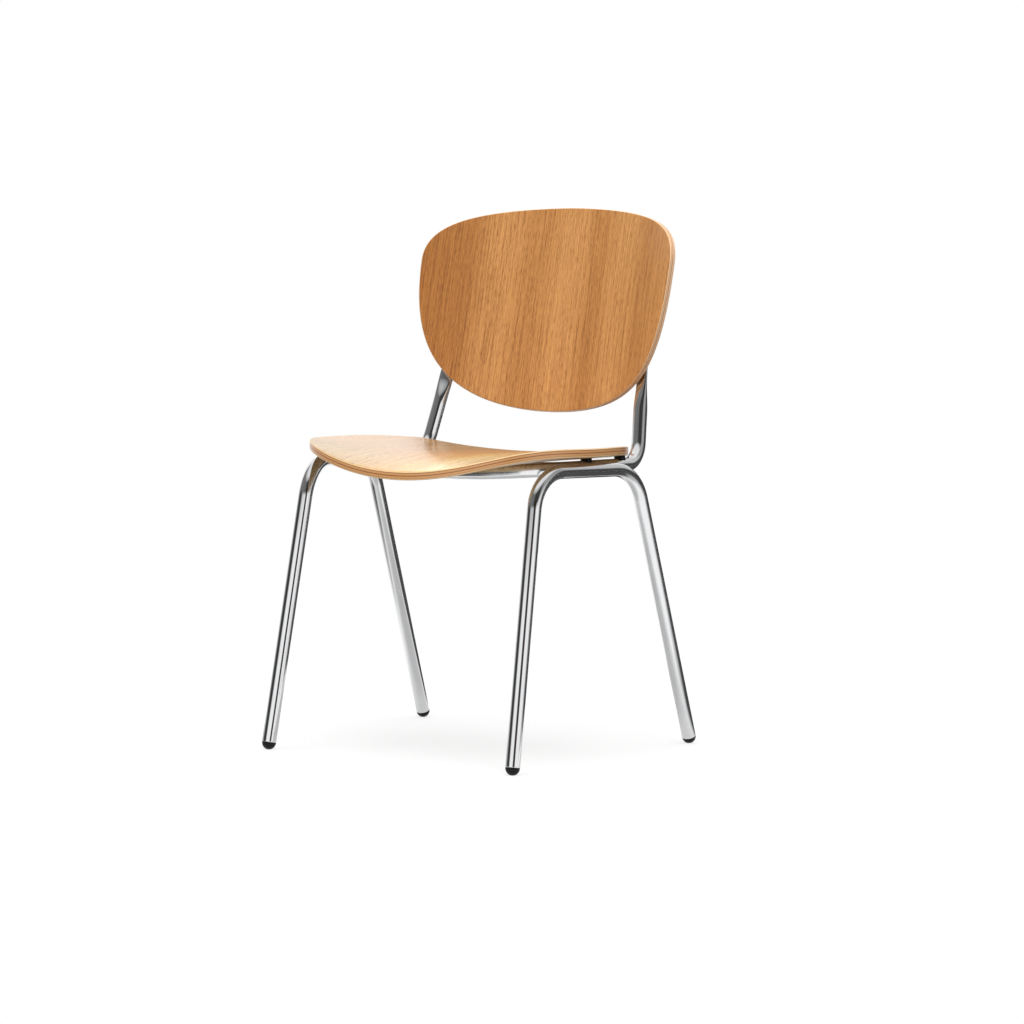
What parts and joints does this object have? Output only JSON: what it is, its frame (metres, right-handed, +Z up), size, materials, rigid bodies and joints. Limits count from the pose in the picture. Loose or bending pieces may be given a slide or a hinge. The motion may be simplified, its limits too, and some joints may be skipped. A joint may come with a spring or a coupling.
{
  "type": "stacking chair",
  "caption": "Armless stacking chair with a moulded plywood seat and curved plywood backrest on a bent steel tube frame with domed feet.",
  "frame": {"origin": "on the floor, at the middle of the chair's plan", "axes": "+Z up, -Y the way the sitter faces, +X the sitter's left"},
  "size_m": [0.478, 0.4919, 0.771],
  "materials": {
    "chrome": "polished chrome plate on steel tube",
    "zinc_steel": "zinc-plated screws and inserts",
    "oak_plywood": "oak-faced plywood under a satin lacquer, its edges left showing the plies",
    "black_plastic": "black moulded plastic"
  },
  "bodies": {
    "root": {"seat_shell": "oak_plywood", "backrest_shell": "oak_plywood", "seat_back_tube": "chrome", "seat_front_left_screw": "zinc_steel", "seat_front_left_insert": "zinc_steel", "seat_front_left_saddle": "black_plastic", "seat_rear_left_screw": "zinc_steel", "seat_rear_left_insert": "zinc_steel", "seat_rear_left_saddle": "black_plastic", "back_lower_left_screw": "zinc_steel", "back_lower_left_insert": "zinc_steel", "back_lower_left_saddle": "black_plastic", "back_upper_left_screw": "zinc_steel", "back_upper_left_insert": "zinc_steel", "back_upper_left_saddle": "black_plastic", "seat_front_right_screw": "zinc_steel", "seat_front_right_insert": "zinc_steel", "seat_front_right_saddle": "black_plastic", "seat_rear_right_screw": "zinc_steel", "seat_rear_right_insert": "zinc_steel", "seat_rear_right_saddle": "black_plastic", "back_lower_right_screw": "zinc_steel", "back_lower_right_insert": "zinc_steel", "back_lower_right_saddle": "black_plastic", "back_upper_right_screw": "zinc_steel", "back_upper_right_insert": "zinc_steel", "back_upper_right_saddle": "black_plastic", "rear_tie_tube": "chrome", "side_frame_left": "chrome", "glide_front_left": "black_plastic", "glide_rear_left": "black_plastic", "frame_spacer_front_left": "chrome", "frame_spacer_rear_left": "chrome", "upright_plug_left": "black_plastic", "side_frame_right": "chrome", "glide_front_right": "black_plastic", "glide_rear_right": "black_plastic", "frame_spacer_front_right": "chrome", "frame_spacer_rear_right": "chrome", "upright_plug_right": "black_plastic"}
  },
  "joints": []
}
